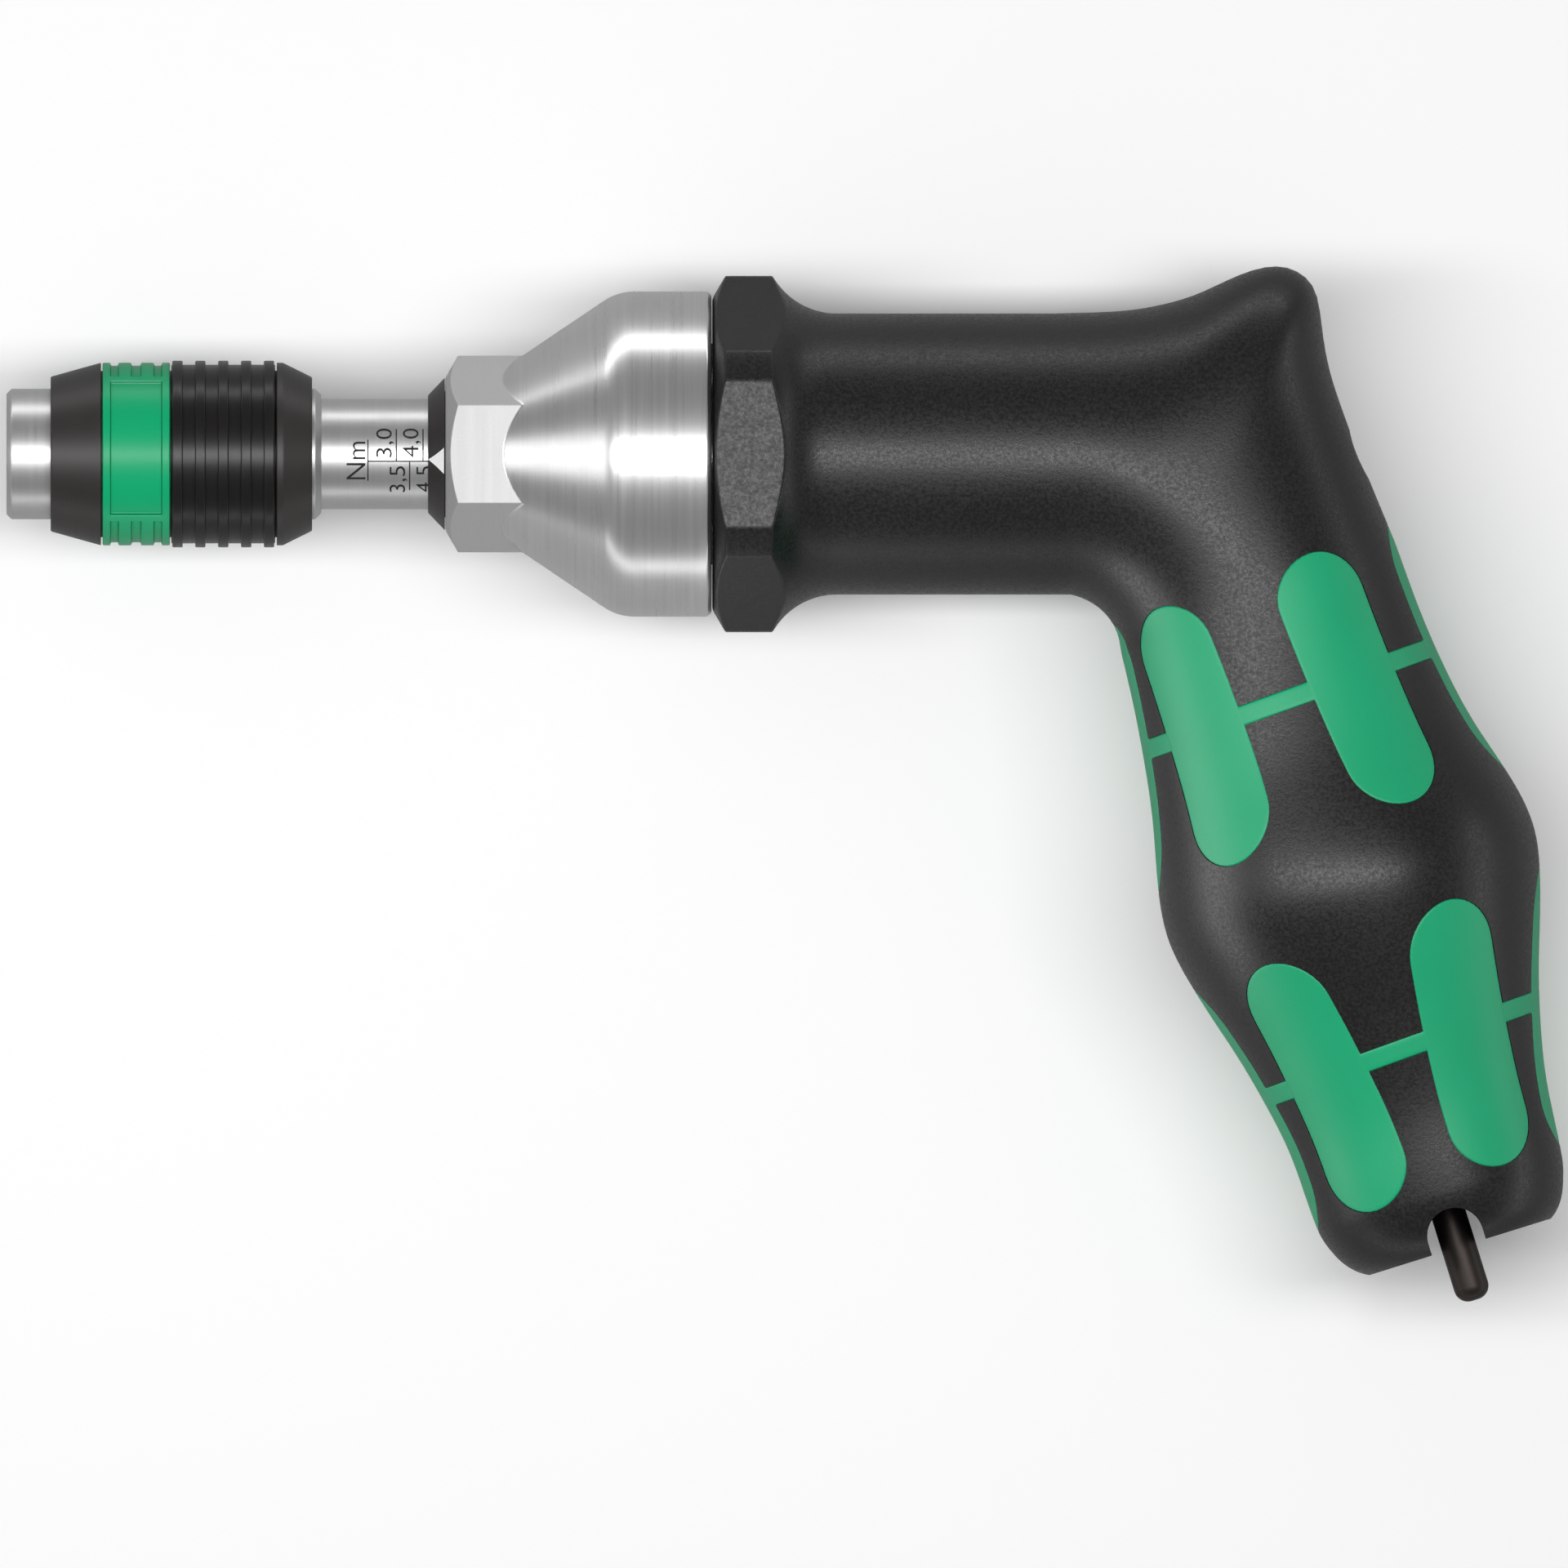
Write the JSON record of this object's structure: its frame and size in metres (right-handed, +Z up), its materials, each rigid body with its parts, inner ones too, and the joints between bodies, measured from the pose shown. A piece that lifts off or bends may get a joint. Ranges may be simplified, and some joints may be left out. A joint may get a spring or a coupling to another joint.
{
  "type": "torque screwdriver",
  "caption": "Adjustable torque screwdriver with a quick-release bit chuck, a turned clutch housing, a torque scale and a pistol grip with soft inlays.",
  "frame": {"origin": "centre of the bit socket's mouth, on the spindle's axis", "axes": "+X back along the spindle towards the handle, -Y the way the grip points, +Z up from the table that it lies on"},
  "size_m": [0.1554, 0.103, 0.0382],
  "materials": {
    "steel": "ground and bright",
    "magnet_metal": "plated",
    "spring_steel": "oiled wire",
    "bronze": "sintered",
    "housing_metal": "turned, matt nickel",
    "black_plastic": "satin",
    "green_plastic": "satin",
    "handle_plastic": "fine grained",
    "green_soft": "matt soft plastic",
    "dark_rod": "blackened",
    "black_rubber": "matt"
  },
  "bodies": {
    "handle": {"handle_shell": "handle_plastic", "grip_inlay_upper": "green_soft", "grip_inlay_lower": "green_soft", "handle_insert": "housing_metal", "housing": "housing_metal", "spindle_bush": "bronze", "detent_plate": "steel", "screw_washer": "bronze", "key_ring": "black_rubber"},
    "clutch": {"pointer_ring": "black_plastic", "clutch_plate": "steel", "clutch_balls": "steel", "spring_washer": "steel", "main_spring": "spring_steel"},
    "spindle": {"spindle": "steel", "bit_magnet": "magnet_metal", "spring_seat": "steel", "seat_ring": "spring_steel", "release_spring": "spring_steel"},
    "release_sleeve": {"release_sleeve": "steel", "sleeve_ring": "spring_steel"},
    "chuck_rings": {"front_cone": "black_plastic", "green_ring": "green_plastic", "ribbed_ring": "black_plastic", "rear_cone": "black_plastic"},
    "locking_ball_upper": {"locking_ball_upper": "steel"},
    "locking_ball_lower": {"locking_ball_lower": "steel"},
    "setting_screw": {"setting_screw": "steel"},
    "thrust_nut": {"thrust_nut": "steel", "thrust_ball": "steel"},
    "setting_key": {"setting_key": "dark_rod"}
  },
  "joints": [
    {"name": "clutch_slip", "type": "hinge", "parent": "handle", "child": "clutch", "pos_m": [0.064, 0, 0], "axis": [1, 0, 0], "continuous": true},
    {"name": "torque_setting", "type": "slide", "parent": "clutch", "child": "spindle", "axis": [-1, 0, 0], "range_m": [-0.0032, 0.0048], "deforming": ["main_spring"]},
    {"name": "setting_screw_turn", "type": "hinge", "parent": "handle", "child": "setting_screw", "pos_m": [0.1212, 0, 0], "axis": [-1, 0, 0], "range_deg": [-1152, 1728]},
    {"name": "nut_slide", "type": "slide", "parent": "handle", "child": "thrust_nut", "axis": [-1, 0, 0], "range_m": [-0.0032, 0.0048]},
    {"name": "release", "type": "slide", "parent": "spindle", "child": "release_sleeve", "axis": [-1, 0, 0], "range_m": [0, 0.0025], "stiffness_N_per_m": 400, "springref_m": -0.002, "deforming": ["release_spring"]},
    {"name": "sleeve_spin", "type": "hinge", "parent": "release_sleeve", "child": "chuck_rings", "pos_m": [0.017, 0, 0], "axis": [1, 0, 0], "continuous": true},
    {"name": "ball_upper_slide", "type": "slide", "parent": "spindle", "child": "locking_ball_upper", "axis": [0, 1, 0], "range_m": [0, 0.0006]},
    {"name": "ball_lower_slide", "type": "slide", "parent": "spindle", "child": "locking_ball_lower", "axis": [0, -1, 0], "range_m": [0, 0.0006]},
    {"name": "key_slide", "type": "slide", "parent": "handle", "child": "setting_key", "axis": [0.2974, -0.9548, 0], "range_m": [0, 0.06]}
  ],
  "couplings": [
    {"joint": "setting_screw_turn", "follows": "torque_setting", "rad_per_m": 6283},
    {"joint": "nut_slide", "follows": "torque_setting", "ratio": 1},
    {"joint": "ball_upper_slide", "follows": "release", "ratio": 0.24},
    {"joint": "ball_lower_slide", "follows": "release", "ratio": 0.24}
  ]
}
